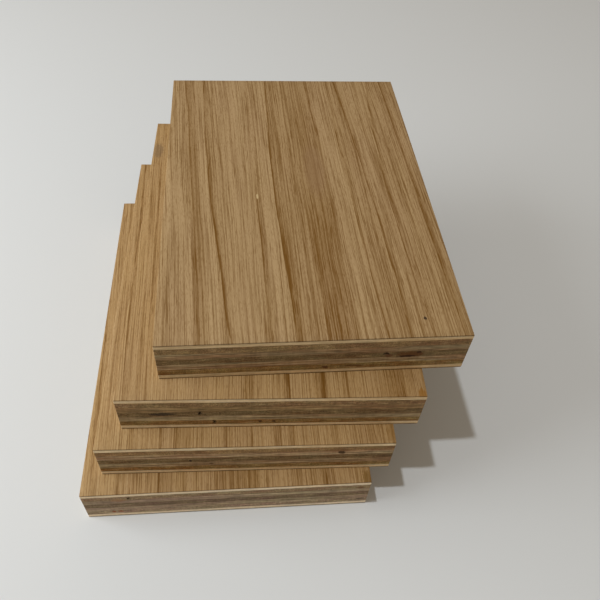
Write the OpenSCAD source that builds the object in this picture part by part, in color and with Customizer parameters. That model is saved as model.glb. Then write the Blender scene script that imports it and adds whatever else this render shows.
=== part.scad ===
// Stack of oak-faced plywood sheets, each slid to the right and back on the sheet below.
// Millimetres, +X right, +Y back, +Z up. The origin is the centre of the lowest sheet's underside.

/* [Sheet] */
// Width of a sheet, across the face grain
sheet_w = 102; // [80:1:240]
// Length of a sheet, along the face grain
sheet_l = 152; // [80:1:300]
// Thickness of a sheet, over all its plies
sheet_t = 18; // [12:0.5:30]
// Break of the sanded arris around the outer face of each oak veneer
arris = 0.2; // [0.05:0.05:0.4]

/* [Lay-up] */
// Thickness of the oak face veneer and of the oak back veneer
oak_t = 0.5; // [0.45:0.05:1.5]
// Thickness of each pale crossband, which lies across the sheet under the oak
crossband_t = 1.5; // [0.8:0.1:3]

/* [Stack] */
// Slide of sheet 2 to the right of the lowest sheet
sheet_2_right = 8.5; // [-30:0.5:30]
// Slide of sheet 2 behind the lowest sheet
sheet_2_back = 6.7; // [-30:0.5:30]
// Turn of sheet 2 from the lowest sheet, in degrees, anticlockwise from above
sheet_2_turn = -1.2; // [-10:0.1:10]
// Slide of sheet 3 to the right of the lowest sheet
sheet_3_right = 17.5; // [-30:0.5:30]
// Slide of sheet 3 behind the lowest sheet
sheet_3_back = 14; // [-30:0.5:30]
// Turn of sheet 3 from the lowest sheet, in degrees, anticlockwise from above
sheet_3_turn = -1.5; // [-10:0.1:10]
// Slide of sheet 4, the top one, to the right of the lowest sheet
sheet_4_right = 28.8; // [-30:0.5:30]
// Slide of sheet 4 behind the lowest sheet
sheet_4_back = 23.4; // [-30:0.5:30]
// Turn of sheet 4 from the lowest sheet, in degrees, anticlockwise from above
sheet_4_turn = 0.5; // [-10:0.1:10]

/* [Knot holes] */
// Depth of the open knot holes, which follow the grain in from a front edge
hole_depth = 6; // [1:0.5:20]
// Height of a slit where a knot's bark has shrunk away
slit_h = 2.1; // [1:0.1:2.6]
// Width of a slit at its middle
slit_w = 0.8; // [0.3:0.1:0.9]
// Diameter of the knot that a crescent-shaped hole follows
knot_d = 2.2; // [1:0.1:2.6]
// Width of a crescent-shaped hole at its middle
crescent_w = 0.6; // [0.2:0.1:0.9]

/* [Hidden] */
core_plies = 5;
// Thickness of a core ply: they share what the oak and the crossbands leave of the sheet
core_t = (sheet_t - 2 * oak_t - 2 * crossband_t) / core_plies;
// Lay-up of a sheet from its underside up: name of the ply and its thickness
PLIES = [
    ["oak_back", oak_t],
    ["lower_crossband", crossband_t],
    each [for (i = [1 : core_plies]) [str("core_", i), core_t]],
    ["upper_crossband", crossband_t],
    ["oak_face", oak_t]
];
// Sheets from the floor up: slide to the right, slide to the back, turn
SHEETS = [
    [0, 0, 0],
    [sheet_2_right, sheet_2_back, sheet_2_turn],
    [sheet_3_right, sheet_3_back, sheet_3_turn],
    [sheet_4_right, sheet_4_back, sheet_4_turn]
];
// Open knot holes: node, distance from the sheet's left edge, height above the ply's middle, outline, turn
KNOT_HOLES = [
    ["sheet_4_core_3", 74.4, 0, "crescent", 100],
    ["sheet_3_core_3", 26.8, 0.4, "slit", -20],
    ["sheet_3_core_1", 30.7, 0.3, "crescent", 0],
    ["sheet_1_core_5", 16, -0.2, "slit", -25]
];
// Radius of the two arcs that bound a slit
slit_r = (pow(slit_h, 2) + pow(slit_w, 2)) / (4 * slit_w);
// How far a cutting shape runs out past the face that it cuts
overcut = 1;
$fn = 48;

// Name of a ply's node, from its sheet's index and its own name
function node_name(s, ply_name) = str("sheet_", s + 1, "_", ply_name);

// Height of a ply's underside in its sheet: the plies below it, added up
function ply_bottom(i) = i == 0 ? 0 : ply_bottom(i - 1) + PLIES[i - 1][1];

// Place of a sheet in the stack
module in_sheet(s) {
    translate([SHEETS[s][0], SHEETS[s][1], s * sheet_t])
        rotate([0, 0, SHEETS[s][2]])
            children();
}

// Section of an oak veneer, its outer face up and both outer arrises broken
module veneer_section(width) {
    polygon([
        [-width / 2, 0],
        [width / 2, 0],
        [width / 2, oak_t - arris],
        [width / 2 - arris, oak_t],
        [-width / 2 + arris, oak_t],
        [-width / 2, oak_t - arris]
    ]);
}

// Oak veneer with a broken arris on all four sides of its outer face
module oak_veneer() {
    intersection() {
        rotate([90, 0, 0]) linear_extrude(sheet_l, center = true) veneer_section(sheet_w);
        rotate([90, 0, 90]) linear_extrude(sheet_w, center = true) veneer_section(sheet_l);
    }
}

// Face veneer, outer face up
module oak_face() {
    color("#9b7d54") oak_veneer();
}

// Back veneer, outer face down
module oak_back() {
    color("#957548") translate([0, 0, oak_t]) mirror([0, 0, 1]) oak_veneer();
}

// Square-sawn blank of a ply that lies between others
module ply_blank(t) {
    translate([-sheet_w / 2, -sheet_l / 2, 0]) cube([sheet_w, sheet_l, t]);
}

// Pale crossband, grain across the sheet
module crossband() {
    color("#b89d76") ply_blank(crossband_t);
}

// Slit with pointed ends, upright
module slit_outline() {
    intersection() {
        translate([slit_r - slit_w / 2, 0]) circle(slit_r);
        translate([slit_w / 2 - slit_r, 0]) circle(slit_r);
    }
}

// Crescent round the right side of a knot
module crescent_outline() {
    difference() {
        circle(d = knot_d);
        translate([-crescent_w, 0]) circle(d = knot_d);
    }
}

// Knot hole that runs along the grain from the front edge, at a height above the ply's middle
module knot_hole(from_left, above_middle, outline, turn) {
    translate([from_left - sheet_w / 2, hole_depth - sheet_l / 2, core_t / 2 + above_middle])
        rotate([90, 0, 0]) linear_extrude(hole_depth + overcut) rotate([0, 0, turn]) {
            if (outline == "slit") slit_outline();
            if (outline == "crescent") crescent_outline();
        }
}

// Core ply with the knot holes that open in its front edge
module core_ply(name) {
    difference() {
        ply_blank(core_t);
        for (hole = KNOT_HOLES) if (hole[0] == name) knot_hole(hole[1], hole[2], hole[3], hole[4]);
    }
}

// Core ply 1, 3 or 5, grain along the sheet, so its front edge is end grain
module core_lengthwise(name) {
    color("#6a5238") core_ply(name);
}

// Core ply 2 or 4, grain across the sheet
module core_crosswise(name) {
    color("#7c6447") core_ply(name);
}

// One ply of the lay-up, its underside at height 0
module ply(i, name) {
    if (i == 0) oak_back();
    else if (i == len(PLIES) - 1) oak_face();
    else if (i == 1 || i == len(PLIES) - 2) crossband();
    else if (i % 2 == 0) core_lengthwise(name);
    else core_crosswise(name);
}

for (s = [0 : len(SHEETS) - 1]) for (i = [0 : len(PLIES) - 1]) {
    name = node_name(s, PLIES[i][0]);
    in_sheet(s) translate([0, 0, ply_bottom(i)]) ply(i, name);
}
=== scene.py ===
"""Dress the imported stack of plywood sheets: every ply sawn, glued and finished as a piece of its own."""
import logging
import math
from collections.abc import Mapping, Sequence
from dataclasses import dataclass, field
from enum import Enum
from typing import ClassVar

import bpy
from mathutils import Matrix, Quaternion, Vector


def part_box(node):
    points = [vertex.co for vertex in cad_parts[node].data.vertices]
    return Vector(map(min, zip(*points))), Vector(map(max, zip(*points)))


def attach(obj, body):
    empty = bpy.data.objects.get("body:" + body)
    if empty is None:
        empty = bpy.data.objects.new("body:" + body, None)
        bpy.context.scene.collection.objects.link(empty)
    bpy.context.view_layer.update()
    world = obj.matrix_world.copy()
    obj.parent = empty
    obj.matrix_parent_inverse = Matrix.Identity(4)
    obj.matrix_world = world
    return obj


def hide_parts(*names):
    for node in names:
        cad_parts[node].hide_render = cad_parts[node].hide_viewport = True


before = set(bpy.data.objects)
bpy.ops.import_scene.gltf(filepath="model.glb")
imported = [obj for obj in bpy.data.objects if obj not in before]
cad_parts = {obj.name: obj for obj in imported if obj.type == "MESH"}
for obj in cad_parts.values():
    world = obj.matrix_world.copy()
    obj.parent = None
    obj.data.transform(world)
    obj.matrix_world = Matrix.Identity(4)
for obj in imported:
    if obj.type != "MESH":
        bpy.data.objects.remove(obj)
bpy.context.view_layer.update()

LOG = logging.getLogger("plywood_stack")
MM = 0.001
Colour = tuple[float, float, float, float]
Triple = tuple[float, float, float]
Tree = bpy.types.NodeTree
Socket = bpy.types.NodeSocket
Patterns = dict[str, Socket]
# Value that a noise pattern swings about
NOISE_MEAN = 0.5


def linear(code: str) -> Colour:
    """Turn an sRGB hex colour into a linear one.

    Args:
        code: Six hex digits after a hash sign.

    Returns:
        Red, green, blue and an alpha of 1.
    """
    shares = [int(code[i:i + 2], 16) / 255 for i in (1, 3, 5)]
    red, green, blue = (s / 12.92 if s <= 0.04045 else ((s + 0.055) / 1.055) ** 2.4 for s in shares)
    return red, green, blue, 1.0


def add_node(
    tree: Tree,
    kind: str,
    inputs: Mapping[int | str, object],
    out: int | str = 0,
    stops: Sequence[tuple[float, Colour]] = (),
    **settings: object,
) -> Socket:
    """Add a node with its settings, values and links.

    Args:
        tree: Node tree of the material.
        kind: Blender's name for the node.
        inputs: For each input, a socket to link or a value to set.
        out: Output that the caller goes on with.
        stops: Places and colours of a colour ramp.
        settings: Properties of the node.

    Returns:
        The chosen output socket.
    """
    node = tree.nodes.new(kind)
    for name, value in settings.items():
        setattr(node, name, value)
    for key, value in inputs.items():
        if isinstance(value, Socket):
            tree.links.new(value, node.inputs[key])
        else:
            node.inputs[key].default_value = value
    for i, (place, colour) in enumerate(stops):
        elements = node.color_ramp.elements
        element = elements[i] if i < len(elements) else elements.new(place)
        element.position = place
        element.color = colour
    return node.outputs[out]


class Grain(Enum):
    """Which way the fibres of a ply run on its sheet."""

    ALONG = (0.0, 1.0, 0.0)
    ACROSS = (1.0, 0.0, 0.0)


def shade_cut_ends(tree: Tree, colour: Socket, grain: Grain, shade: float) -> Socket:
    """Darken the sides where the fibres are cut through, because end grain drinks in the light.

    Args:
        tree: Node tree of the material.
        colour: Colour of the wood.
        grain: Which way its fibres run.
        shade: Brightness of a cut end, as a share of that of the other sides.

    Returns:
        The colour on every side.
    """
    facing = add_node(tree, "ShaderNodeNewGeometry", {}, "Normal")
    inputs = {0: facing, 1: grain.value}
    cut = add_node(tree, "ShaderNodeVectorMath", inputs, "Value", operation="DOT_PRODUCT")
    ends = add_node(tree, "ShaderNodeMath", {0: cut}, operation="ABSOLUTE")
    dim = add_node(tree, "ShaderNodeMapRange", {"Value": ends, "To Min": 1.0, "To Max": shade})
    return add_node(tree, "ShaderNodeVectorMath", {0: colour, "Scale": dim}, operation="SCALE")


@dataclass(frozen=True)
class SheetPlace:
    """Where a sheet lies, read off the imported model, in metres and radians."""

    number: int
    centre: Vector
    turn: float
    width: float
    length: float

    @classmethod
    def from_frame(cls, number: int) -> "SheetPlace":
        """Read a sheet's place off its lowest ply.

        Args:
            number: The sheet's number, counted from the floor.

        Returns:
            The place of that sheet.
        """
        first_low, first_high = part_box("sheet_1_oak_back")
        width, length = (first_high - first_low).xy
        low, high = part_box(f"sheet_{number}_oak_back")
        centre = Vector(((low.x + high.x) / 2, (low.y + high.y) / 2, low.z))
        corners = [v.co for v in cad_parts[f"sheet_{number}_lower_crossband"].data.vertices]
        front_right = max(corners, key=lambda corner: corner.x - corner.y) - centre
        turn = math.atan2(front_right.y, front_right.x) - math.atan2(-length, width)
        return cls(number, centre, turn, width, length)

    def coordinates(self, tree: Tree) -> Socket:
        """Add Object coordinates in millimetres, centred on the sheet's underside and turned with it.

        Args:
            tree: Node tree of the material.

        Returns:
            The vector socket.
        """
        place = add_node(tree, "ShaderNodeTexCoord", {}, "Object")
        inputs = {"Vector": place, "Location": self.centre}
        inputs |= {"Rotation": (0, 0, self.turn), "Scale": (MM, MM, MM)}
        return add_node(tree, "ShaderNodeMapping", inputs, vector_type="TEXTURE")


@dataclass(frozen=True)
class Mark:
    """Knot, fleck, stain, amber corner spot or painted shade around a knot hole in a ply: its middle,
    half-sizes and colour.

    Attributes:
        at: Middle, in mm from the sheet's left, front and bottom edges.
        half: Half-sizes in mm.
        colour: sRGB hex colour.
        strength: How much of the wood's own colour it hides.
    """

    at: Triple
    half: Triple
    colour: str
    strength: float = 0.8

    def reaches(self, bottom: float, top: float) -> bool:
        """Tell whether it lies at least partly between two heights.

        Args:
            bottom: Lower height, in mm above the sheet's underside.
            top: Upper height.

        Returns:
            True where the mark shows in a ply between these heights.
        """
        return self.at[2] + self.half[2] > bottom and self.at[2] - self.half[2] < top


def draw_marks(
    tree: Tree,
    colour: Socket,
    sheet: Socket,
    place: SheetPlace,
    marks: Sequence[Mark],
) -> Socket:
    """Lay a ply's knots, flecks, stains, amber spots and painted shade around knot holes over its colour,
    with ragged outlines.

    Args:
        tree: Node tree of the material.
        colour: Colour of the wood.
        sheet: Coordinates of the sheet in mm.
        place: The sheet's place, for its edges.
        marks: What is drawn.

    Returns:
        The colour with the marks on it.
    """
    ragged_mm = 0.9
    # Shares of its half-size at which a mark begins to fade and at which it is gone
    fades, gone = 0.6, 1.15
    corner = Vector((-place.width / 2 / MM, -place.length / 2 / MM, 0))
    ragged = add_node(tree, "ShaderNodeTexNoise", {"Vector": sheet, "Scale": 1 / ragged_mm}, "Color")
    for mark in marks:
        middle = Vector(mark.at) + corner
        away = add_node(tree, "ShaderNodeVectorMath", {0: sheet, 1: middle}, operation="SUBTRACT")
        share = Vector(1 / size for size in mark.half)
        scaled = add_node(tree, "ShaderNodeVectorMath", {0: away, 1: share}, operation="MULTIPLY")
        torn = add_node(tree, "ShaderNodeVectorMath", {0: ragged, 1: scaled}, operation="ADD")
        inputs = {0: torn, 1: (NOISE_MEAN, NOISE_MEAN, NOISE_MEAN)}
        centred = add_node(tree, "ShaderNodeVectorMath", inputs, operation="SUBTRACT")
        radius = add_node(tree, "ShaderNodeVectorMath", {0: centred}, "Value", operation="LENGTH")
        limits = {"Value": radius, "From Min": fades, "From Max": gone}
        limits |= {"To Min": mark.strength, "To Max": 0.0}
        cover = add_node(tree, "ShaderNodeMapRange", limits, interpolation_type="SMOOTHSTEP")
        inputs = {0: cover, 6: colour, 7: linear(mark.colour)}
        colour = add_node(tree, "ShaderNodeMix", inputs, 2, data_type="RGBA")
    return colour


@dataclass(frozen=True)
class GrainLine:
    """Start of a growth ring on an oak face, as it wanders from the back edge to the front.

    Attributes:
        back: Place on the back edge, in mm from the left edge.
        middle: Place half-way to the front.
        front: Place on the front edge.
        fade: Width in mm over which its dark pores thin out, to the right, or to the left where negative.
        depth: How dark it is, from 0 to 1.
        begins: Share of the length at which it sets in.
        ends: Share of the length at which it dies out.
    """

    back: float
    middle: float
    front: float
    fade: float
    depth: float
    begins: float = 0.0
    ends: float = 1.0


@dataclass(frozen=True)
class Thread:
    """Fine lines in the oak, drawn where a pattern is strong.

    Attributes:
        pattern: Name of the pattern.
        sets_in: Strength of the pattern at which a line sets in.
        full: Strength at which it is fully drawn.
        on_pale: How much of the colour it hides where the wood is pale.
        on_deep: How much of the colour it hides where the wood is deep.
        colour: sRGB hex colour.
    """

    pattern: str
    sets_in: float
    full: float
    on_pale: float
    on_deep: float
    colour: str


SILK = "#bb9d72"
PORE = "#684200"
# Hairlines, some lighter than the wood and some darker, then pores and flecks
THREADS = (
    Thread("hairs", 0.48, 0.36, 0.35, 0.1, SILK),
    Thread("hairs", 0.525, 0.595, 0.26, 0.55, PORE),
    Thread("strands", 0.57, 0.62, 0.06, 0.3, PORE),
    Thread("crowded_pores", 0.95, 1.1, 0.4, 0.8, PORE),
    Thread("flecks", 0.54, 0.66, 0.2, 0.42, PORE),
)


@dataclass(frozen=True)
class OakFinish:
    """Sliced and sanded oak veneer, left bare.

    Each growth ring starts sharply with a row of open pores and fades to plain pale wood, and hair-fine
    fibres run through it all, so the eye sees long soft bands under thin golden-brown lines.

    Attributes:
        name: Name of the material.
        place: Where the sheet lies.
        seed: What sets its patterns apart from those of the other veneers.
        tones: Depth of tone at places across the sheet, in mm from the left edge.
        lines: Starts of its growth rings.
        marks: Its flecks, stains and amber corner spots.
        pale: sRGB hex colour of the pale wood.
        deep: sRGB hex colour of the deep wood.
        drift: sRGB hex colour that the wood drifts to in places.
        end_shade: Brightness of its cut ends, as a share of that of its other sides.
    """

    name: str
    place: SheetPlace
    seed: float
    tones: tuple[tuple[float, float], ...]
    lines: tuple[GrainLine, ...]
    marks: tuple[Mark, ...] = ()
    pale: str = "#aa8d63"
    deep: str = "#7c5a2a"
    drift: str = "#a18160"
    end_shade: float = 0.6
    # Width and length of each pattern in mm, and its detail. Hairs are bundles of fibres: one fibre is
    # a few hundredths of a millimetre thick, far too fine to show, so they are drawn coarser.
    textures: ClassVar[dict[str, Triple]] = {
        "hues": (11.0, 50.0, 2.0),
        "rings": (3.2, 300.0, 1.0),
        "breaks": (2.5, 24.0, 1.0),
        "strands": (1.2, 60.0, 2.0),
        "hairs": (0.38, 38.0, 0.3),
        "pores": (0.3, 7.0, 0.0),
        "flecks": (0.26, 1.6, 0.0),
    }
    # How far a pattern pushes the ring lines aside, in mm
    ragged_mm: ClassVar[dict[str, float]] = {"hairs": 0.5, "strands": 1.0}
    # How much a pattern, and the early wood of a ring, deepen the tone
    weights: ClassVar[dict[str, float]] = {"rings": 0.42, "strands": 0.26}
    early_wood_weight: ClassVar[float] = 0.85
    # How closely the pores keep to the hairlines, and how much they count beside the early wood
    row_weight: ClassVar[float] = 0.5
    pore_weight: ClassVar[float] = 1.5

    def material(self) -> bpy.types.Material:
        """Build the node material.

        Returns:
            The new material.
        """
        material = bpy.data.materials.new(self.name)
        material.use_nodes = True
        tree = material.node_tree
        shader = tree.nodes["Principled BSDF"]
        sheet = self.place.coordinates(tree)
        along, across = self.swayed(tree, sheet)
        fibre_x = self.leaned(tree, along, across)
        patterns = self.patterns(tree, sheet, fibre_x)
        early_wood = self.early_wood(tree, along, across, patterns)

        # Pores crowd at the start of a ring and thin out from there
        core = add_node(tree, "ShaderNodeMath", {0: early_wood, 1: 2.0}, operation="POWER")
        inputs = {0: patterns["pore_rows"], 1: self.pore_weight, 2: core}
        patterns["crowded_pores"] = add_node(tree, "ShaderNodeMath", inputs, operation="MULTIPLY_ADD")

        depth = self.depth(tree, fibre_x, early_wood, patterns)
        colour = self.colour(tree, depth, patterns)
        colour = draw_marks(tree, colour, sheet, self.place, self.marks)
        colour = shade_cut_ends(tree, colour, Grain.ALONG, self.end_shade)
        tree.links.new(colour, shader.inputs["Base Color"])

        # Open pores and raised fibres, a few hundredths of a millimetre deep
        inputs = {0: patterns["pore_rows"], 1: -1.0, 2: patterns["strands"]}
        relief = add_node(tree, "ShaderNodeMath", inputs, operation="MULTIPLY_ADD")
        bump = add_node(tree, "ShaderNodeBump", {"Height": relief, "Strength": 0.4, "Distance": 0.05 * MM})
        tree.links.new(bump, shader.inputs["Normal"])
        limits = {"Value": patterns["strands"], "From Min": 0.3, "From Max": 0.7}
        limits |= {"To Min": 0.72, "To Max": 0.6}
        rough = add_node(tree, "ShaderNodeMapRange", limits)
        tree.links.new(rough, shader.inputs["Roughness"])
        shader.inputs["Specular IOR Level"].default_value = 0.25
        return material

    def swayed(self, tree: Tree, sheet: Socket) -> tuple[Socket, Socket]:
        """Measure along the sheet from its back edge, and across it from its left edge with a slow sway.

        Args:
            tree: Node tree of the material.
            sheet: Coordinates of the sheet in mm.

        Returns:
            Share of the length, and distance across in mm.
        """
        width, length = self.place.width / MM, self.place.length / MM
        sway_mm, sway_long_mm, sway_by_mm = 24, 70, 2.4
        x = add_node(tree, "ShaderNodeSeparateXYZ", {0: sheet}, "X")
        y = add_node(tree, "ShaderNodeSeparateXYZ", {0: sheet}, "Y")
        limits = {"Value": y, "From Min": length / 2, "From Max": -length / 2}
        along = add_node(tree, "ShaderNodeMapRange", limits, clamp=False)
        scale = (1 / sway_mm, 1 / sway_long_mm, 0)
        stretched = add_node(tree, "ShaderNodeVectorMath", {0: sheet, 1: scale}, operation="MULTIPLY")
        inputs = {"Vector": stretched, "W": self.seed, "Scale": 1.0, "Detail": 2.0}
        sway = add_node(tree, "ShaderNodeTexNoise", inputs, noise_dimensions="4D")
        shifted = add_node(tree, "ShaderNodeMath", {0: sway, 1: sway_by_mm, 2: x}, operation="MULTIPLY_ADD")
        to_left_edge = width / 2 - sway_by_mm * NOISE_MEAN
        across = add_node(tree, "ShaderNodeMath", {0: shifted, 1: to_left_edge}, operation="ADD")
        return along, across

    def leaned(self, tree: Tree, along: Socket, across: Socket) -> Socket:
        """Lean the fibres to the right on their way to the front, most of all on the left side.

        Args:
            tree: Node tree of the material.
            along: Share of the length, from the back edge.
            across: Distance from the left edge in mm.

        Returns:
            Distance across the leaning fibres in mm.
        """
        lean_left_mm, lean_right_mm = 8.0, 3.2
        limits = {"Value": across, "From Min": 20, "From Max": 36}
        limits |= {"To Min": lean_left_mm, "To Max": lean_right_mm}
        lean = add_node(tree, "ShaderNodeMapRange", limits, interpolation_type="SMOOTHSTEP")
        shift = add_node(tree, "ShaderNodeMath", {0: along, 1: lean}, operation="MULTIPLY")
        return add_node(tree, "ShaderNodeMath", {0: across, 1: shift}, operation="SUBTRACT")

    def patterns(self, tree: Tree, sheet: Socket, fibre_x: Socket) -> Patterns:
        """Draw out rings, strands, hairlines, pores and flecks along the grain.

        Args:
            tree: Node tree of the material.
            sheet: Coordinates of the sheet in mm.
            fibre_x: Distance across the fibres in mm.

        Returns:
            The strength of each pattern, by its name.
        """
        y = add_node(tree, "ShaderNodeSeparateXYZ", {0: sheet}, "Y")
        drawn = add_node(tree, "ShaderNodeCombineXYZ", {"X": fibre_x, "Y": y, "Z": 0.0})
        made = {}
        for name, (thick_mm, long_mm, detail) in self.textures.items():
            scale = (1 / thick_mm, 1 / long_mm, 1.0)
            vector = add_node(tree, "ShaderNodeVectorMath", {0: drawn, 1: scale}, operation="MULTIPLY")
            inputs = {"Vector": vector, "W": self.seed, "Scale": 1.0, "Detail": detail, "Roughness": 0.6}
            made[name] = add_node(tree, "ShaderNodeTexNoise", inputs, noise_dimensions="4D")
        inputs = {0: made["hairs"], 1: self.row_weight, 2: -self.row_weight * NOISE_MEAN}
        row = add_node(tree, "ShaderNodeMath", inputs, operation="MULTIPLY_ADD")
        made["pore_rows"] = add_node(tree, "ShaderNodeMath", {0: made["pores"], 1: row}, operation="ADD")
        return made

    def early_wood(self, tree: Tree, along: Socket, across: Socket, patterns: Patterns) -> Socket:
        """Draw the ring lines, torn into strands by the fibres and weaker in places.

        Args:
            tree: Node tree of the material.
            along: Share of the length, from the back edge.
            across: Distance from the left edge in mm.
            patterns: Strength of each pattern.

        Returns:
            How dark the rings are at each place.
        """
        torn = across
        for name, aside_mm in self.ragged_mm.items():
            inputs = {0: patterns[name], 1: NOISE_MEAN}
            centred = add_node(tree, "ShaderNodeMath", inputs, operation="SUBTRACT")
            inputs = {0: centred, 1: aside_mm, 2: torn}
            torn = add_node(tree, "ShaderNodeMath", inputs, operation="MULTIPLY_ADD")
        rings = self.ring_lines(tree, along, torn)
        limits = {"Value": patterns["breaks"], "From Min": 0.38, "From Max": 0.6, "To Min": 0.65}
        whole = add_node(tree, "ShaderNodeMapRange", limits)
        return add_node(tree, "ShaderNodeMath", {0: rings, 1: whole}, operation="MULTIPLY")

    def ring_lines(self, tree: Tree, along: Socket, across: Socket) -> Socket:
        """Draw the start of each growth ring on its own course, sharp on one side and fading on the other.

        Args:
            tree: Node tree of the material.
            along: Share of the length, from the back edge.
            across: Distance from the left edge in mm.

        Returns:
            How dark the rings are at each place.
        """
        sharp_mm, die_out = 0.3, 0.15
        # The square taken at the end narrows each fade, so it starts out this much wider
        widened = 1.7
        dark = None
        for line in self.lines:
            # The course is a parabola through the line's three places
            slope = -3 * line.back + 4 * line.middle - line.front
            bend = 2 * line.back - 4 * line.middle + 2 * line.front
            turn = add_node(tree, "ShaderNodeMath", {0: along, 1: bend, 2: slope}, operation="MULTIPLY_ADD")
            inputs = {0: along, 1: turn, 2: line.back}
            course = add_node(tree, "ShaderNodeMath", inputs, operation="MULTIPLY_ADD")
            beside = add_node(tree, "ShaderNodeMath", {0: across, 1: course}, operation="SUBTRACT")
            side = math.copysign(sharp_mm, line.fade)
            masks = [
                {"Value": beside, "From Min": -side, "From Max": 0, "To Max": math.sqrt(line.depth)},
                {"Value": beside, "From Min": 0, "From Max": widened * line.fade, "To Min": 1, "To Max": 0},
            ]
            if line.begins > 0:
                start, end = line.begins - die_out, line.begins + die_out
                masks.append({"Value": along, "From Min": start, "From Max": end})
            if line.ends < 1:
                start, end = line.ends + die_out, line.ends - die_out
                masks.append({"Value": along, "From Min": start, "From Max": end})
            ring = None
            for limits in masks:
                mask = add_node(tree, "ShaderNodeMapRange", limits)
                ring = mask if ring is None else add_node(
                    tree, "ShaderNodeMath", {0: ring, 1: mask}, operation="MULTIPLY"
                )
            dark = ring if dark is None else add_node(
                tree, "ShaderNodeMath", {0: dark, 1: ring}, operation="MAXIMUM"
            )
        return add_node(tree, "ShaderNodeMath", {0: dark, 1: 2.0}, operation="POWER")

    def depth(self, tree: Tree, fibre_x: Socket, early_wood: Socket, patterns: Patterns) -> Socket:
        """Add up how deep the wood's tone is, from its bands, rings and strands.

        Args:
            tree: Node tree of the material.
            fibre_x: Distance across the fibres in mm.
            early_wood: How dark the ring lines are.
            patterns: Strength of each pattern.

        Returns:
            Depth of the tone, from 0 to 1.
        """
        width = self.place.width / MM
        share = add_node(tree, "ShaderNodeMath", {0: fibre_x, 1: width}, operation="DIVIDE")
        stops = [(at / width, (tone, tone, tone, 1.0)) for at, tone in self.tones]
        depth = add_node(tree, "ShaderNodeValToRGB", {0: share}, stops=stops)
        for name, weight in self.weights.items():
            inputs = {0: patterns[name], 1: NOISE_MEAN}
            centred = add_node(tree, "ShaderNodeMath", inputs, operation="SUBTRACT")
            inputs = {0: centred, 1: weight, 2: depth}
            depth = add_node(tree, "ShaderNodeMath", inputs, operation="MULTIPLY_ADD")
        inputs = {0: early_wood, 1: self.early_wood_weight, 2: depth}
        return add_node(tree, "ShaderNodeMath", inputs, operation="MULTIPLY_ADD", use_clamp=True)

    def colour(self, tree: Tree, depth: Socket, patterns: Patterns) -> Socket:
        """Colour the wood from pale to deep, and draw its fine lines.

        Args:
            tree: Node tree of the material.
            depth: Depth of the tone.
            patterns: Strength of each pattern.

        Returns:
            The colour of the wood.
        """
        inputs = {0: depth, 6: linear(self.pale), 7: linear(self.deep)}
        colour = add_node(tree, "ShaderNodeMix", inputs, 2, data_type="RGBA")
        limits = {"Value": patterns["hues"], "From Min": 0.4, "From Max": 0.7, "To Max": 0.2}
        drift = add_node(tree, "ShaderNodeMapRange", limits)
        inputs = {0: drift, 6: colour, 7: linear(self.drift)}
        colour = add_node(tree, "ShaderNodeMix", inputs, 2, data_type="RGBA")
        for thread in THREADS:
            limits = {"Value": depth, "To Min": thread.on_pale, "To Max": thread.on_deep}
            bite = add_node(tree, "ShaderNodeMapRange", limits)
            limits = {"Value": patterns[thread.pattern], "To Max": bite}
            limits |= {"From Min": thread.sets_in, "From Max": thread.full}
            cover = add_node(tree, "ShaderNodeMapRange", limits)
            inputs = {0: cover, 6: colour, 7: linear(thread.colour)}
            colour = add_node(tree, "ShaderNodeMix", inputs, 2, data_type="RGBA")
        return colour


class Tint(Enum):
    """Shade of a peeled veneer: deep, middle and pale sRGB colours."""

    CREAM = ("#d3b385", "#ddc7a1", "#e5d7bb")
    HONEY = ("#c6a577", "#cfb890", "#d7c7a7")
    # Crossband shade of the lowest sheet, paler partly as painted floor bounce light
    PALE_FLOOR_LIT = ("#e8d0aa", "#f0dfc2", "#f6ead6")
    TAN = ("#886645", "#927e5c", "#b09c79")
    ROSY = ("#99704f", "#a18a66", "#c0aa86")
    RUSSET = ("#87633f", "#91744a", "#a88e65")
    GREY = ("#805f3e", "#897049", "#9f8963")
    OLIVE = ("#6c5030", "#75613f", "#8f7a55")
    RED = ("#7f572b", "#876f41", "#a0875e")
    # Shades of the lowest sheet's cores, paler partly as painted floor bounce light
    PALE_TAN = ("#977b66", "#9e8c6b", "#b7a68b")
    PALE_GREY = ("#907155", "#978460", "#ad9b79")
    SLATE = ("#785d4b", "#7d6b4d", "#938165")


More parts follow.
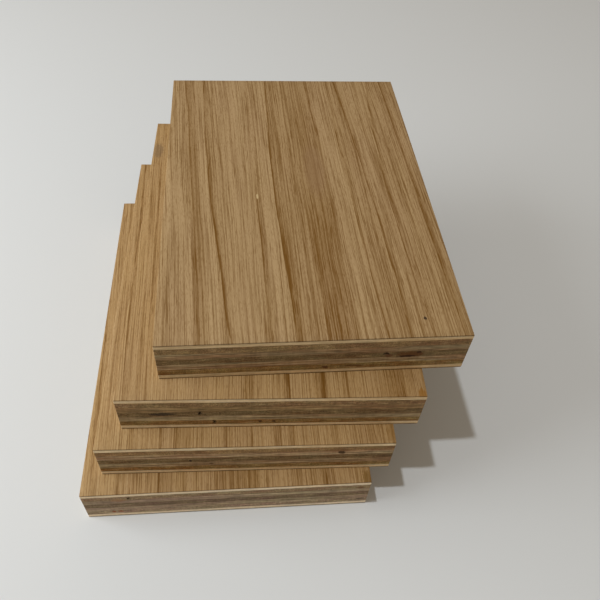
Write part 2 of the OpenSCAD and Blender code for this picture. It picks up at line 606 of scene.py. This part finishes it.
@dataclass(frozen=True)
class PeeledFinish:
    """Rotary-peeled veneer on a sawn edge: layered streaks, pore specks, patchy tints and saw marks.

    Attributes:
        name: Name of the material.
        place: Where the sheet lies.
        grain: Which way the fibres run.
        seed: What sets its patterns apart from those of the other plies.
        tint: Its shade.
        marks: Its knots, stains and the painted shade around its knot holes.
        end_shade: Brightness of its cut ends, as a share of that of its other sides.
        mottle: How strong its patterns are.
    """

    name: str
    place: SheetPlace
    grain: Grain
    seed: float
    tint: Tint
    marks: tuple[Mark, ...] = ()
    end_shade: float = 1.0
    mottle: float = 1.0
    # Size of each pattern in mm: across the fibres, along them and through the ply. Pore specks are drawn
    # coarser than the real ones, which are a tenth of a millimetre across.
    sizes_mm: ClassVar[dict[str, Triple]] = {
        "hues": (11, 40, 2.4),
        "patches": (7, 30, 1.1),
        "streaks": (5, 26, 0.36),
        "specks": (0.42, 5, 0.36),
        "saw": (0.9, 0.9, 30),
    }
    # How far each pattern lightens and darkens the wood
    swings: ClassVar[dict[str, float]] = {"patches": 0.14, "streaks": 0.18, "specks": 0.38, "saw": 0.1}
    # Height of the saw marks beside that of the specks
    saw_height: ClassVar[float] = 0.4

    def material(self) -> bpy.types.Material:
        """Build the node material.

        Returns:
            The new material.
        """
        material = bpy.data.materials.new(self.name)
        material.use_nodes = True
        tree = material.node_tree
        shader = tree.nodes["Principled BSDF"]
        sheet = self.place.coordinates(tree)
        patterns = self.patterns(tree, sheet)
        deep, middle, pale = (linear(code) for code in self.tint.value)
        limits = {"Value": patterns["hues"], "From Min": 0.35, "From Max": 0.65}
        hue = add_node(tree, "ShaderNodeMapRange", limits)
        colour = add_node(tree, "ShaderNodeMix", {0: hue, 6: deep, 7: middle}, 2, data_type="RGBA")
        limits = {"Value": patterns["streaks"], "From Min": 0.52, "From Max": 0.72, "To Max": 0.6}
        streak = add_node(tree, "ShaderNodeMapRange", limits)
        colour = add_node(tree, "ShaderNodeMix", {0: streak, 6: colour, 7: pale}, 2, data_type="RGBA")
        for name, swing in self.swings.items():
            limits = {"Value": patterns[name], "From Min": 0.32, "From Max": 0.68}
            limits |= {"To Min": 1 - swing * self.mottle, "To Max": 1 + swing * self.mottle}
            shade = add_node(tree, "ShaderNodeMapRange", limits)
            colour = add_node(tree, "ShaderNodeVectorMath", {0: colour, "Scale": shade}, operation="SCALE")
        colour = draw_marks(tree, colour, sheet, self.place, self.marks)
        colour = shade_cut_ends(tree, colour, self.grain, self.end_shade)
        tree.links.new(colour, shader.inputs["Base Color"])

        inputs = {0: patterns["saw"], 1: self.saw_height, 2: patterns["specks"]}
        relief = add_node(tree, "ShaderNodeMath", inputs, operation="MULTIPLY_ADD")
        bump = add_node(tree, "ShaderNodeBump", {"Height": relief, "Strength": 0.6, "Distance": 0.08 * MM})
        tree.links.new(bump, shader.inputs["Normal"])
        shader.inputs["Roughness"].default_value = 0.85
        shader.inputs["Specular IOR Level"].default_value = 0.2
        return material

    def patterns(self, tree: Tree, sheet: Socket) -> Patterns:
        """Draw out hues, patches, streaks and specks along the grain, and the saw marks upright.

        Args:
            tree: Node tree of the material.
            sheet: Coordinates of the sheet in mm.

        Returns:
            The strength of each pattern, by its name.
        """
        seed_step = 7.3
        made = {}
        for offset, (name, (across_mm, along_mm, thick_mm)) in enumerate(self.sizes_mm.items()):
            x_mm, y_mm = (across_mm, along_mm) if self.grain is Grain.ALONG else (along_mm, across_mm)
            scale = (1 / x_mm, 1 / y_mm, 1 / thick_mm)
            vector = add_node(tree, "ShaderNodeVectorMath", {0: sheet, 1: scale}, operation="MULTIPLY")
            inputs = {"Vector": vector, "W": self.seed + seed_step * offset}
            inputs |= {"Scale": 1.0, "Detail": 1.0, "Roughness": 0.6}
            made[name] = add_node(tree, "ShaderNodeTexNoise", inputs, noise_dimensions="4D")
        return made


Finish = OakFinish | PeeledFinish


class HoleForm(Enum):
    """Outline of an open knot hole."""

    SLIT = "slit"
    CRESCENT = "crescent"


@dataclass(frozen=True)
class KnotHole:
    """Open knot hole that runs in from a front edge, in mm and degrees.

    Attributes:
        from_left: Distance of its middle from the sheet's left edge.
        above_middle: Height of its middle above the ply's.
        form: Its outline.
        turn: Turn of the outline, anticlockwise from the front.
        depth: How far in it runs.
        slit_height: Height of a slit.
        slit_width: Width of a slit at its middle.
        knot_size: Diameter of the knot that a crescent follows.
        crescent_width: Width of a crescent at its middle.
    """

    from_left: float
    above_middle: float
    form: HoleForm
    turn: float
    depth: float = 6.0
    slit_height: float = 2.1
    slit_width: float = 0.8
    knot_size: float = 2.2
    crescent_width: float = 0.6

    def cutter(self, place: SheetPlace, middle: float) -> bpy.types.Object:
        """Model the solid that is cut out of the ply, from two round bars.

        Args:
            place: The sheet's place, for its edges.
            middle: Height of the ply's middle in its sheet, in metres.

        Returns:
            The cutting solid, in the sheet's own frame.
        """
        if self.form is HoleForm.SLIT:
            radius = (self.slit_height ** 2 + self.slit_width ** 2) / (4 * self.slit_width)
            shifts = (radius - self.slit_width / 2, self.slit_width / 2 - radius)
            operation = "INTERSECT"
        else:
            radius = self.knot_size / 2
            shifts = (0.0, -self.crescent_width)
            operation = "DIFFERENCE"
        bars = []
        for shift in shifts:
            bpy.ops.object.select_all(action="DESELECT")
            bpy.ops.mesh.primitive_cylinder_add(
                vertices=48, radius=radius * MM, depth=2 * self.depth * MM, location=(shift * MM, 0, 0)
            )
            bpy.ops.object.transform_apply(location=True, rotation=False, scale=False)
            bars.append(bpy.context.object)
        cutter, other = bars
        cut_with(cutter, other, operation)
        cutter.rotation_euler = (math.pi / 2, math.radians(-self.turn), 0)
        left, front = -place.width / 2, -place.length / 2
        cutter.location = (left + self.from_left * MM, front, middle + self.above_middle * MM)
        make_active(cutter)
        bpy.ops.object.transform_apply(location=True, rotation=True, scale=True)
        return cutter


def make_active(piece: bpy.types.Object) -> None:
    """Select one object alone, so that operators act on nothing else.

    Args:
        piece: The object.
    """
    bpy.ops.object.select_all(action="DESELECT")
    piece.select_set(True)
    bpy.context.view_layer.objects.active = piece


def cut_with(piece: bpy.types.Object, cutter: bpy.types.Object, operation: str) -> None:
    """Apply a boolean to a piece and take its cutter away.

    Args:
        piece: The piece that is cut.
        cutter: The solid that cuts it.
        operation: Blender's name for the boolean.
    """
    make_active(piece)
    boolean = piece.modifiers.new("cut", "BOOLEAN")
    boolean.operation = operation
    boolean.solver = "EXACT"
    boolean.object = cutter
    bpy.ops.object.modifier_apply(modifier=boolean.name)
    bpy.data.objects.remove(cutter)


@dataclass(frozen=True)
class Layer:
    """One layer of the lay-up, the same in every sheet."""

    name: str
    grain: Grain
    slot: str


LAY_UP = (
    Layer("oak_back", Grain.ALONG, "oak_veneer"),
    Layer("lower_crossband", Grain.ACROSS, "crossband"),
    Layer("core_1", Grain.ALONG, "core_lengthwise"),
    Layer("core_2", Grain.ACROSS, "core_crosswise"),
    Layer("core_3", Grain.ALONG, "core_lengthwise"),
    Layer("core_4", Grain.ACROSS, "core_crosswise"),
    Layer("core_5", Grain.ALONG, "core_lengthwise"),
    Layer("upper_crossband", Grain.ACROSS, "crossband"),
    Layer("oak_face", Grain.ALONG, "oak_veneer"),
)


@dataclass
class GluePress:
    """Gives the two plies that meet at a glue line the same slow waves, so that they stay in touch.

    Attributes:
        wave_mm: Length of the waves.
        swings_mm: Height of the waves under the oak, under a crossband and between two core plies.
        strides: Metres on X, Y and Z that the pattern moves per sheet, per glue line and per sheet.
        texture: Pattern of the waves.
        wander: Marker that moves the pattern.
    """

    wave_mm: float = 14.0
    swings_mm: Triple = (0.2, 0.35, 0.6)
    strides: Triple = (0.31, 0.17, 0.23)
    texture: bpy.types.Texture = field(init=False)
    wander: bpy.types.Object = field(init=False)

    def __post_init__(self) -> None:
        """Make the wave pattern and the marker that shifts it from glue line to glue line."""
        self.texture = bpy.data.textures.new("glue_line_waves", "CLOUDS")
        self.texture.noise_scale = self.wave_mm * MM
        self.texture.noise_depth = 2
        self.wander = bpy.data.objects.new("glue_line_marker", None)
        bpy.context.scene.collection.objects.link(self.wander)

    def press(self, piece: bpy.types.Object, sheet: int, layer: int, middle: float) -> None:
        """Wave the faces of a ply that are glued to a neighbour.

        Args:
            piece: The ply, in the sheet's own frame.
            sheet: The sheet's number.
            layer: The ply's index in the lay-up.
            middle: Height of the ply's middle, which parts its two faces.
        """
        for glue_line, above in ((layer, False), (layer + 1, True)):
            if glue_line in (0, len(LAY_UP)):
                continue
            depth = min(glue_line, len(LAY_UP) - glue_line, len(self.swings_mm))
            group = piece.vertex_groups.new(name=f"glue_line_{glue_line}")
            group.add([v.index for v in piece.data.vertices if (v.co.z > middle) == above], 1.0, "REPLACE")
            counts = (sheet, glue_line, sheet)
            self.wander.location = [stride * count for stride, count in zip(self.strides, counts)]
            bpy.context.view_layer.update()
            make_active(piece)
            waves = piece.modifiers.new("waves", "DISPLACE")
            waves.texture = self.texture
            waves.texture_coords = "OBJECT"
            waves.texture_coords_object = self.wander
            waves.direction = "Z"
            waves.strength = self.swings_mm[depth - 1] * MM
            waves.vertex_group = group.name
            bpy.ops.object.modifier_apply(modifier=waves.name)
            piece.vertex_groups.clear()

    def put_away(self) -> None:
        """Take the pattern and its marker out of the file."""
        bpy.data.objects.remove(self.wander)
        bpy.data.textures.remove(self.texture)


@dataclass
class Sheet:
    """One sheet of plywood: its place, its finishes and its nine plies.

    Attributes:
        place: Where it lies.
        finishes: Finish of each layer.
        holes: Open knot holes, by the name of their layer.
        cell_mm: Spacing of the mesh on the faces of a ply.
        arris_mm: Break of the outer arris of an oak veneer.
        seam_mm: Break of a ply's sawn edges at a glue line.
    """

    place: SheetPlace
    finishes: Mapping[str, Finish]
    holes: Mapping[str, tuple[KnotHole, ...]] = field(default_factory=dict)
    cell_mm: float = 3.0
    arris_mm: float = 0.2
    seam_mm: float = 0.09

    def build(self, press: GluePress) -> list[bpy.types.Object]:
        """Model and dress all plies.

        Args:
            press: What waves the glue lines.

        Returns:
            The plies, from the underside up.
        """
        return [self.ply(layer, index, press) for index, layer in enumerate(LAY_UP)]

    def ply(self, layer: Layer, index: int, press: GluePress) -> bpy.types.Object:
        """Model one ply in the sheet's own frame, put it in place and dress it.

        Args:
            layer: The layer of the lay-up.
            index: Its index, from the underside up.
            press: What waves the glue lines.

        Returns:
            The finished ply.
        """
        node = f"sheet_{self.place.number}_{layer.name}"
        low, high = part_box(node)
        bottom, top = low.z - self.place.centre.z, high.z - self.place.centre.z
        piece = self.blank(f"ply_{self.place.number}_{layer.name}", bottom, top)
        press.press(piece, self.place.number, index, (bottom + top) / 2)
        if layer.name in ("oak_back", "oak_face"):
            self.break_arris(piece, up=layer.name == "oak_face")
        self.ease_seams(piece)
        for hole in self.holes.get(layer.name, ()):
            cut_with(piece, hole.cutter(self.place, (bottom + top) / 2), "DIFFERENCE")
        make_active(piece)
        piece.rotation_euler.z = self.place.turn
        piece.location = self.place.centre
        bpy.ops.object.transform_apply(location=True, rotation=True, scale=True)
        bpy.ops.object.shade_smooth_by_angle(angle=math.radians(30))
        piece.data.materials.clear()
        piece.data.materials.append(self.finishes[layer.name].material())
        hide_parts(node)
        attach(piece, "root")
        LOG.info("%s: %d faces", piece.name, len(piece.data.polygons))
        return piece

    def blank(self, name: str, bottom: float, top: float) -> bpy.types.Object:
        """Saw a square blank: a grid drawn up to the ply's thickness.

        Args:
            name: Name of the piece.
            bottom: Height of its underside in the sheet.
            top: Height of its upper face.

        Returns:
            The blank.
        """
        bpy.ops.object.select_all(action="DESELECT")
        bpy.ops.mesh.primitive_grid_add(
            x_subdivisions=round(self.place.width / MM / self.cell_mm),
            y_subdivisions=round(self.place.length / MM / self.cell_mm),
            size=1,
            location=(0, 0, bottom),
        )
        piece = bpy.context.object
        piece.name = name
        piece.scale = (self.place.width, self.place.length, 1)
        bpy.ops.object.transform_apply(location=True, rotation=True, scale=True)
        bpy.ops.object.mode_set(mode="EDIT")
        bpy.ops.mesh.select_all(action="SELECT")
        bpy.ops.mesh.extrude_region_move(TRANSFORM_OT_translate={"value": (0, 0, top - bottom)})
        bpy.ops.mesh.select_all(action="SELECT")
        bpy.ops.mesh.normals_make_consistent(inside=False)
        bpy.ops.object.mode_set(mode="OBJECT")
        return piece

    def break_arris(self, piece: bpy.types.Object, up: bool) -> None:
        """Round the arris around an oak veneer's outer face.

        Args:
            piece: The veneer.
            up: Whether its outer face is the upper one.
        """
        make_active(piece)
        bpy.ops.object.mode_set(mode="EDIT")
        bpy.ops.mesh.select_mode(type="FACE")
        bpy.ops.mesh.select_all(action="DESELECT")
        bpy.ops.object.mode_set(mode="OBJECT")
        outward, level = 1 if up else -1, 0.9
        for face in piece.data.polygons:
            face.select = outward * face.normal.z > level
        bpy.ops.object.mode_set(mode="EDIT")
        bpy.ops.mesh.region_to_loop()
        bpy.ops.mesh.bevel(offset=self.arris_mm * MM, segments=3, affect="EDGES")
        bpy.ops.object.mode_set(mode="OBJECT")

    def ease_seams(self, piece: bpy.types.Object) -> None:
        """Ease the sharp edges, so that each glue line is a hair-fine groove.

        Args:
            piece: The ply.
        """
        make_active(piece)
        bevel = piece.modifiers.new("seams", "BEVEL")
        bevel.width = self.seam_mm * MM
        bevel.segments = 1
        bevel.limit_method = "ANGLE"
        bevel.angle_limit = math.radians(60)
        bpy.ops.object.modifier_apply(modifier=bevel.name)


@dataclass(frozen=True)
class Studio:
    """Pale floor, soft light and the camera, in mm, degrees and pixels of the 600-pixel frame."""

    eye: Triple = (5.6, -170.6, 230.5)
    aim: Triple = (29.14, -8.43, 40.0)
    roll: float = 5.03
    focal_px: float = 632.6
    frame_px: float = 600.0
    sensor_mm: float = 36.0
    floor_size: float = 6000.0
    floor_colour: str = "#d2d3d1"
    key_at: Triple = (-300.0, -75.0, 1400.0)
    key_size: float = 50.0
    key_watts: float = 7.1
    window_at: Triple = (-720.0, -25.0, 370.0)
    window_size: float = 640.0
    window_watts: float = 5.8
    lamp_colour: str = "#f2f8ff"
    sky_colour: str = "#fff0dc"
    sky_strength: float = 0.35

    def build(self) -> None:
        """Set up floor, light and camera."""
        self.floor()
        self.light()
        self.camera()
        bpy.context.scene.view_settings.view_transform = "Standard"

    def floor(self) -> None:
        """Lay a wide pale floor under the stack."""
        bpy.ops.object.select_all(action="DESELECT")
        bpy.ops.mesh.primitive_plane_add(size=self.floor_size * MM)
        floor = bpy.context.object
        floor.name = "floor"
        material = bpy.data.materials.new("matt_pale_board")
        material.use_nodes = True
        shader = material.node_tree.nodes["Principled BSDF"]
        shader.inputs["Base Color"].default_value = linear(self.floor_colour)
        shader.inputs["Roughness"].default_value = 0.7
        floor.data.materials.append(material)

    def light(self) -> None:
        """Hang a small key lamp overhead, stand a wide soft one on the left and fill in with an even sky."""
        self.lamp("key", self.key_at, self.key_size, self.key_watts)
        self.lamp("window", self.window_at, self.window_size, self.window_watts)
        world = bpy.data.worlds.new("even_sky")
        world.use_nodes = True
        sky = world.node_tree.nodes["Background"]
        sky.inputs["Color"].default_value = linear(self.sky_colour)
        sky.inputs["Strength"].default_value = self.sky_strength
        bpy.context.scene.world = world

    def lamp(self, name: str, at: Triple, size: float, watts: float) -> None:
        """Point a round lamp at what the camera looks at.

        Args:
            name: Name of the lamp.
            at: Where it hangs, in mm.
            size: Its diameter in mm.
            watts: Its power.
        """
        light = bpy.data.lights.new(name, "AREA")
        light.shape = "DISK"
        light.size = size * MM
        light.energy = watts
        light.color = linear(self.lamp_colour)[:3]
        lamp = bpy.data.objects.new(name, light)
        lamp.location = Vector(at) * MM
        lamp.rotation_euler = (Vector(at) - Vector(self.aim)).to_track_quat("Z", "Y").to_euler()
        bpy.context.scene.collection.objects.link(lamp)

    def camera(self) -> None:
        """Stand the camera where the photograph was taken from."""
        eye, aim = Vector(self.eye) * MM, Vector(self.aim) * MM
        lens = bpy.data.cameras.new("camera")
        lens.sensor_width = self.sensor_mm
        lens.lens = self.focal_px / self.frame_px * self.sensor_mm
        lens.clip_start = 0.01
        camera = bpy.data.objects.new("camera", lens)
        camera.location = eye
        look = (aim - eye).to_track_quat("-Z", "Y")
        camera.rotation_euler = (look @ Quaternion((0, 0, 1), math.radians(self.roll))).to_euler()
        bpy.context.scene.collection.objects.link(camera)
        bpy.context.scene.camera = camera


@dataclass(frozen=True)
class Figure:
    """Figure of one oak face.

    Attributes:
        tones: Depth of tone at places across the sheet, in mm from the left edge.
        lines: Starts of its growth rings.
    """

    tones: tuple[tuple[float, float], ...]
    lines: tuple[GrainLine, ...]


# Figure of each sheet's face, counted from the floor
FIGURES = {
    1: Figure(
        ((0, 0.1), (20, 0.3), (42, 0.25), (48, 0.5), (56, 0.4), (66, 0.2), (74, 0.25), (82, 0.45), (95, 0.3)),
        (
            GrainLine(-3.0, 0.0, 3.2, 1.6, 0.6),
            GrainLine(4.0, 8.5, 13.0, 2.0, 0.35),
            GrainLine(14.0, 18.0, 22.0, 1.5, 0.4),
            GrainLine(20.0, 23.5, 26.5, 1.6, 0.6),
            GrainLine(30.0, 33.0, 35.0, 2.6, 0.45),
            GrainLine(41.0, 43.0, 45.0, 9.0, 0.45),
            GrainLine(54.0, 56.0, 58.0, 4.0, 0.45),
            GrainLine(78.0, 78.5, 79.5, 4.0, 0.4),
            GrainLine(84.0, 85.0, 86.0, 2.0, 0.4),
        ),
    ),
    2: Figure(
        ((0, 0.1), (12, 0.2), (26, 0.35), (38, 0.2), (44, 0.3), (55, 0.25), (64, 0.3), (78, 0.2), (96, 0.4)),
        (
            GrainLine(2.0, 4.6, 8.5, 1.8, 0.7),
            GrainLine(5.0, 8.5, 11.5, 1.8, 0.5),
            GrainLine(14.0, 18.0, 21.4, 1.6, 0.45),
            GrainLine(19.0, 22.5, 26.2, 2.0, 0.75),
            GrainLine(26.0, 28.5, 30.5, 1.2, 0.4),
            GrainLine(32.0, 33.5, 35.0, 1.2, 0.4),
            GrainLine(40.0, 41.5, 43.4, 2.2, 0.75),
            GrainLine(50.0, 51.0, 52.6, -2.0, 0.75),
            GrainLine(60.0, 61.0, 62.5, -4.0, 0.55),
            GrainLine(65.0, 66.0, 67.0, -1.5, 0.45),
            GrainLine(79.0, 80.0, 82.0, -1.5, 0.5),
            GrainLine(88.0, 89.0, 90.0, 8.0, 0.3),
        ),
    ),
    3: Figure(
        (
            (0, 0.1), (20, 0.15), (40, 0.25), (50, 0.2), (60, 0.2), (72, 0.3), (80, 0.3), (90, 0.5),
            (100, 0.35),
        ),
        (
            GrainLine(-5.0, -1.5, 2.8, 1.6, 0.75),
            GrainLine(0.0, 3.6, 7.2, 1.2, 0.45),
            GrainLine(3.2, 6.2, 9.8, 1.5, 0.5),
            GrainLine(22.0, 24.5, 27.2, -1.5, 0.35),
            GrainLine(40.0, 42.5, 45.0, -4.0, 0.65),
            GrainLine(52.0, 54.0, 56.4, -3.5, 1.0),
            GrainLine(65.0, 66.5, 68.6, -4.0, 0.95),
            GrainLine(73.0, 74.5, 76.3, -3.5, 0.45),
            GrainLine(92.0, 93.5, 95.0, -9.0, 0.45),
        ),
    ),
    4: Figure(
        (
            (0, 0.25), (4, 0.2), (5, 0.5), (9, 0.45), (10, 0.2), (13, 0.2), (14, 0.5), (17, 0.3),
            (20, 0.2), (31, 0.15), (32, 0.4), (34, 0.3), (36, 0.15), (40, 0.2), (41, 0.45), (44, 0.45),
            (46, 0.4), (51, 0.45), (56, 0.55), (61, 0.45), (63, 0.15), (68, 0.15), (70, 0.4), (73, 0.35),
            (76, 0.45), (80, 0.25), (83, 0.4), (88, 0.35), (92, 0.4), (98, 0.4),
        ),
        (
            GrainLine(5.0, 10.0, 12.6, 2.4, 0.45),
            GrainLine(13.3, 17.0, 24.0, 1.0, 1.0),
            GrainLine(33.0, 34.4, 36.0, 1.3, 0.65, begins=0.5),
            GrainLine(41.3, 41.6, 45.0, 0.8, 0.95),
            GrainLine(41.3, 41.6, 45.0, 3.4, 1.0, begins=0.6),
            GrainLine(50.0, 52.4, 54.6, 13.0, 0.5, begins=0.52),
            GrainLine(60.0, 62.0, 64.5, -10.0, 0.47, begins=0.54),
            GrainLine(60.0, 62.4, 62.0, 1.8, 0.65, ends=0.4),
            GrainLine(70.5, 70.8, 74.0, 1.4, 0.6),
            GrainLine(74.0, 78.8, 81.0, 1.1, 0.85),
            GrainLine(89.5, 86.0, 88.5, 1.7, 0.6),
            GrainLine(96.0, 97.0, 99.0, 1.6, 0.7),
        ),
    ),
}
# Knots, flecks and stains of each sheet, amber spots at the front-right corners of the lower faces, and
# painted shade around the knot holes
MARKS = {
    1: (
        Mark((12.5, 0, 13.3), (3.0, 4, 1.4), "#a8744c", 0.4),
        Mark((9.6, 0, 3.8), (0.9, 3, 0.9), "#8a3d1d", 0.8),
        Mark((12.0, 0, 3.9), (1.0, 3, 0.8), "#8a3d1d", 0.75),
        Mark((99.3, 0, 4.4), (1.8, 3, 0.6), "#3d3830", 0.7),
        Mark((98.5, 0, 14.0), (1.8, 4, 0.9), "#6b3a1e", 0.6),
        # Painted shade in and around the slit knot hole of core_5
        Mark((16.0, 0, 14.4), (0.8, 6.5, 1.3), "#3a2814", 0.4),
        # Amber spot at the front-right corner of the top face
        Mark((100.6, 1.5, 18), (1.9, 3.4, 0.3), "#74521a", 0.6),
    ),
    2: (
        Mark((82.0, 0, 13.6), (5.0, 5, 1.2), "#7a4e2a", 0.4),
        Mark((83.7, 0, 12.0), (1.5, 5, 1.2), "#3c2508", 0.9),
        Mark((31.3, 0, 8.6), (0.6, 3, 0.7), "#2c1d10", 0.9),
        Mark((38.3, 0, 6.3), (0.9, 3, 0.45), "#37220f", 0.9),
        # Amber spot at the front-right corner of the top face
        Mark((100.6, 4.0, 18), (1.4, 4, 0.3), "#80581c", 0.35),
    ),
    3: (
        Mark((14.5, 0, 9.1), (5.0, 6, 1.0), "#2e2216", 0.85),
        # Painted shade in and around the slit knot hole of core_3
        Mark((26.8, 0, 9.4), (0.8, 6.5, 1.3), "#1f150d", 0.5),
        # Painted shade in and around the crescent knot hole of core_1
        Mark((31.5, 0, 3.7), (0.8, 6.5, 1.3), "#2a1606", 0.5),
        Mark((46.8, 0, 3.6), (0.7, 4, 0.9), "#3a2412", 0.8),
        Mark((51.5, 0, 3.5), (0.7, 4, 0.8), "#3a2412", 0.8),
        # Amber spot at the front-right corner of the top face
        Mark((100.4, 1.0, 18), (1.5, 2.2, 0.3), "#8c5c12", 0.7),
        Mark((2.2, 131, 18), (2.4, 6, 0.3), "#5e4c3a", 0.42),
    ),
    4: (
        Mark((82.5, 0, 8.8), (4.8, 5, 1.8), "#5c3410", 0.75),
        Mark((81.5, 0, 7.8), (3.4, 5, 0.6), "#331a08", 0.9),
        Mark((85.3, 0, 9.8), (1.1, 3, 0.6), "#3a1d08", 0.9),
        Mark((75.3, 0, 8.6), (1.5, 6.5, 1.1), "#5a2e18", 0.6),
        # Painted shade in and around the crescent knot hole of core_3
        Mark((74.3, 0, 9.7), (1.4, 6.5, 0.8), "#1f0c06", 0.5),
        Mark((54.6, 0, 3.2), (1.2, 4, 0.9), "#4a2410", 0.75),
        Mark((64.0, 0, 3.6), (4.5, 4, 0.6), "#55300f", 0.7),
        Mark((35.0, 69.5, 18), (0.4, 1.7, 0.3), "#cbb283", 0.75),
        Mark((87.3, 7.6, 18), (0.6, 0.9, 0.3), "#2e1c0c", 0.9),
        Mark((58.5, 86, 18), (4.5, 18, 0.3), "#8a6a48", 0.45),
    ),
}


# Shades of each sheet's crossbands, and of its core plies from the lowest up. The lowest sheet's are paler
# and the top sheet's crossbands deeper: partly the plies' own colour, partly painted light for the floor's
# bounce onto the lower front edges.
CROSSBAND_TINTS = {1: Tint.PALE_FLOOR_LIT, 2: Tint.CREAM, 3: Tint.CREAM, 4: Tint.HONEY}
CORE_TINTS = {
    1: (Tint.PALE_TAN, Tint.PALE_TAN, Tint.SLATE, Tint.PALE_TAN, Tint.PALE_GREY),
    2: (Tint.RED, Tint.TAN, Tint.OLIVE, Tint.ROSY, Tint.RUSSET),
    3: (Tint.RED, Tint.TAN, Tint.OLIVE, Tint.GREY, Tint.GREY),
    4: (Tint.RED, Tint.TAN, Tint.OLIVE, Tint.TAN, Tint.GREY),
}
# The three lower faces are more golden than the top one: partly their own colour, partly painted warm bounce
# light on their exposed strips
LOWER_OAK_GOLD_AND_BOUNCE = {"pale": "#af8e5e", "deep": "#7e5925"}


def finishes(place: SheetPlace) -> dict[str, Finish]:
    """Choose the finish of each layer of a sheet.

    Args:
        place: The sheet's place.

    Returns:
        A finish for each layer's name.
    """
    sheet_step, layer_step = 11.7, 3.1
    made: dict[str, Finish] = {}
    for index, layer in enumerate(LAY_UP):
        name = f"{layer.name}_of_sheet_{place.number}"
        seed = sheet_step * place.number + layer_step * index
        low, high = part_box(f"sheet_{place.number}_{layer.name}")
        bottom, top = ((corner.z - place.centre.z) / MM for corner in (low, high))
        marks = tuple(mark for mark in MARKS[place.number] if mark.reaches(bottom, top))
        if layer.slot == "oak_veneer":
            # A back has the figure of the next sheet's face
            face = place.number if layer.name == "oak_face" else place.number % len(FIGURES) + 1
            figure = FIGURES[face]
            # The lower sheets' oak takes a golden tint that partly paints warm bounce light
            shades = {} if place.number == len(FIGURES) else LOWER_OAK_GOLD_AND_BOUNCE
            made[layer.name] = OakFinish(
                f"sanded_oak_{name}", place, seed, figure.tones, figure.lines, marks, **shades
            )
        elif layer.slot == "crossband":
            tint = CROSSBAND_TINTS[place.number]
            made[layer.name] = PeeledFinish(
                f"pale_poplar_{name}", place, layer.grain, seed, tint, end_shade=0.9, mottle=0.5
            )
        else:
            core = int(layer.name.removeprefix("core_"))
            tint = CORE_TINTS[place.number][core - 1]
            made[layer.name] = PeeledFinish(
                f"mixed_hardwood_{name}", place, layer.grain, seed, tint, marks
            )
    return made


# Open knot holes by sheet and layer
HOLES = {
    4: {"core_3": (KnotHole(74.4, 0.0, HoleForm.CRESCENT, 100),)},
    3: {
        "core_3": (KnotHole(26.8, 0.4, HoleForm.SLIT, -20),),
        "core_1": (KnotHole(30.7, 0.3, HoleForm.CRESCENT, 0),),
    },
    1: {"core_5": (KnotHole(16.0, -0.2, HoleForm.SLIT, -25),)},
}


def main() -> None:
    """Build the studio and the four sheets, and note the size."""
    logging.basicConfig(level=logging.INFO, format="%(name)s: %(message)s")
    Studio().build()
    press = GluePress()
    for number in FIGURES:
        place = SheetPlace.from_frame(number)
        LOG.info("sheet %d: turned %.2f degrees", number, math.degrees(place.turn))
        Sheet(place, finishes(place), HOLES.get(number, {})).build(press)
    press.put_away()


if __name__ == "__main__":
    main()
